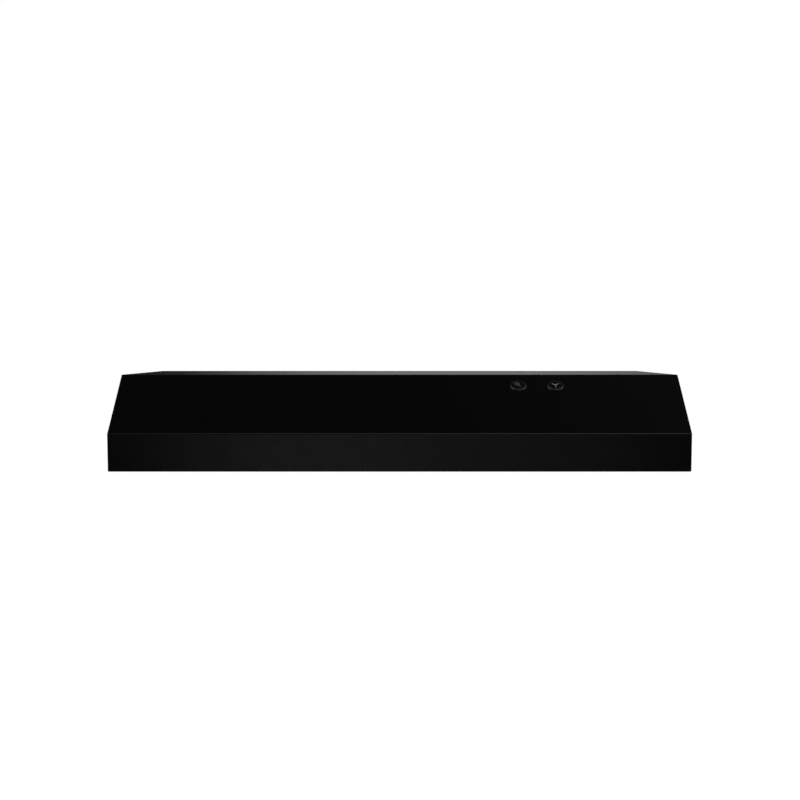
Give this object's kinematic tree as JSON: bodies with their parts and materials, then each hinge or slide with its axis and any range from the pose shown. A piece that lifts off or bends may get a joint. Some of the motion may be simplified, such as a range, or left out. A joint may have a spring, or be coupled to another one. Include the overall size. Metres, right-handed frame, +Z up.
{
  "type": "under cabinet range hood",
  "caption": "Low under-cabinet range hood with sloped front, front lip, two push buttons, open underside, grease filter, lamp, axial fan and rear duct with damper.",
  "frame": {"origin": "middle of the footprint, on the flat top face that goes up against the cabinet", "axes": "+X to the right of a person facing the hood, -Y towards that person, +Z up through the cabinet face"},
  "size_m": [0.759, 0.484, 0.124],
  "materials": {
    "black_paint": "glossy powder coat",
    "galvanised": "galvanised, spangled",
    "steel": "zinc plated",
    "lamination": "stacked and varnished",
    "copper_winding": "enamelled wire",
    "cast_zinc": "die cast",
    "bronze": "sintered",
    "filter_aluminium": "rolled",
    "filter_mesh": "woven",
    "brass": "bright",
    "reflector": "white enamel",
    "black_plastic": "satin moulded",
    "grey_plastic": "moulded",
    "white_plastic": "moulded",
    "lens_plastic": "translucent, ribbed",
    "frosted_glass": "frosted inside",
    "rubber": "moulded",
    "lead": "sleeved"
  },
  "bodies": {
    "root": {"hood_shell": "black_paint", "side_panel_left": "black_paint", "side_panel_right": "black_paint", "back_panel": "black_paint", "top_duct_knockout": "black_paint", "wiring_knockout": "black_paint", "duct_connector": "galvanised", "fan_housing": "galvanised", "motor_bracket": "galvanised", "wiring_cover": "galvanised", "damper_rod": "steel", "housing_screw_1": "steel", "housing_screw_2": "steel", "bracket_screw_1": "steel", "bracket_screw_2": "steel", "motor_bolt_1": "steel", "motor_bolt_2": "steel", "motor_nut_1": "steel", "motor_nut_2": "steel", "filter_clip_left": "steel", "filter_clip_right": "steel", "filter_catch": "steel", "light_button_spring": "steel", "fan_button_spring": "steel", "wiring_cover_screw": "steel", "motor_stator": "lamination", "motor_coil": "copper_winding", "motor_top_cover": "cast_zinc", "motor_bottom_cover": "cast_zinc", "motor_top_bearing": "bronze", "motor_bottom_bearing": "bronze", "bulb_base": "brass", "lamp_reflector": "reflector", "light_button_bezel": "black_plastic", "fan_button_bezel": "black_plastic", "light_button_nut": "grey_plastic", "fan_button_nut": "grey_plastic", "light_switch": "grey_plastic", "fan_switch": "grey_plastic", "lamp_socket": "white_plastic", "lens_clip_1": "white_plastic", "lens_clip_2": "white_plastic", "bulb_glass": "frosted_glass", "motor_grommet_1": "rubber", "motor_grommet_2": "rubber", "motor_lead": "lead", "lamp_lead": "lead", "supply_lead": "lead"},
    "fan_rotor": {"fan_blade": "grey_plastic", "fan_nut": "brass", "motor_shaft": "steel", "motor_rotor": "steel"},
    "light_button": {"light_button_cap": "black_plastic"},
    "fan_button": {"fan_button_cap": "black_plastic"},
    "damper": {"damper_flap": "galvanised"},
    "filter": {"filter_frame": "filter_aluminium", "filter_mesh": "filter_mesh", "latch_guide": "steel"},
    "latch": {"filter_latch": "black_plastic"},
    "lens": {"lamp_lens": "lens_plastic"}
  },
  "joints": [
    {"name": "fan_spin", "type": "hinge", "parent": "root", "child": "fan_rotor", "pos_m": [0, 0.055, -0.07], "axis": [0, 0, 1], "continuous": true},
    {"name": "light_button_press", "type": "slide", "parent": "root", "child": "light_button", "axis": [0, 0.5724, -0.82], "range_m": [0, 0.003], "stiffness_N_per_m": 600, "springref_m": -0.002, "deforming": ["light_button_spring"]},
    {"name": "fan_button_press", "type": "slide", "parent": "root", "child": "fan_button", "axis": [0, 0.5724, -0.82], "range_m": [0, 0.003], "stiffness_N_per_m": 600, "springref_m": -0.002, "deforming": ["fan_button_spring"]},
    {"name": "damper_swing", "type": "hinge", "parent": "root", "child": "damper", "pos_m": [0, 0.23225, -0.0166], "axis": [1, 0, 0], "range_deg": [0, 78]},
    {"name": "filter_drop", "type": "hinge", "parent": "root", "child": "filter", "pos_m": [0, 0.17, -0.103], "axis": [1, 0, 0], "range_deg": [0, 75]},
    {"name": "filter_latch_slide", "type": "slide", "parent": "filter", "child": "latch", "axis": [0, 1, 0], "range_m": [0, 0.007]},
    {"name": "lens_drop", "type": "hinge", "parent": "root", "child": "lens", "pos_m": [0.27, 0.068, -0.1005], "axis": [1, 0, 0], "range_deg": [0, 80]}
  ]
}
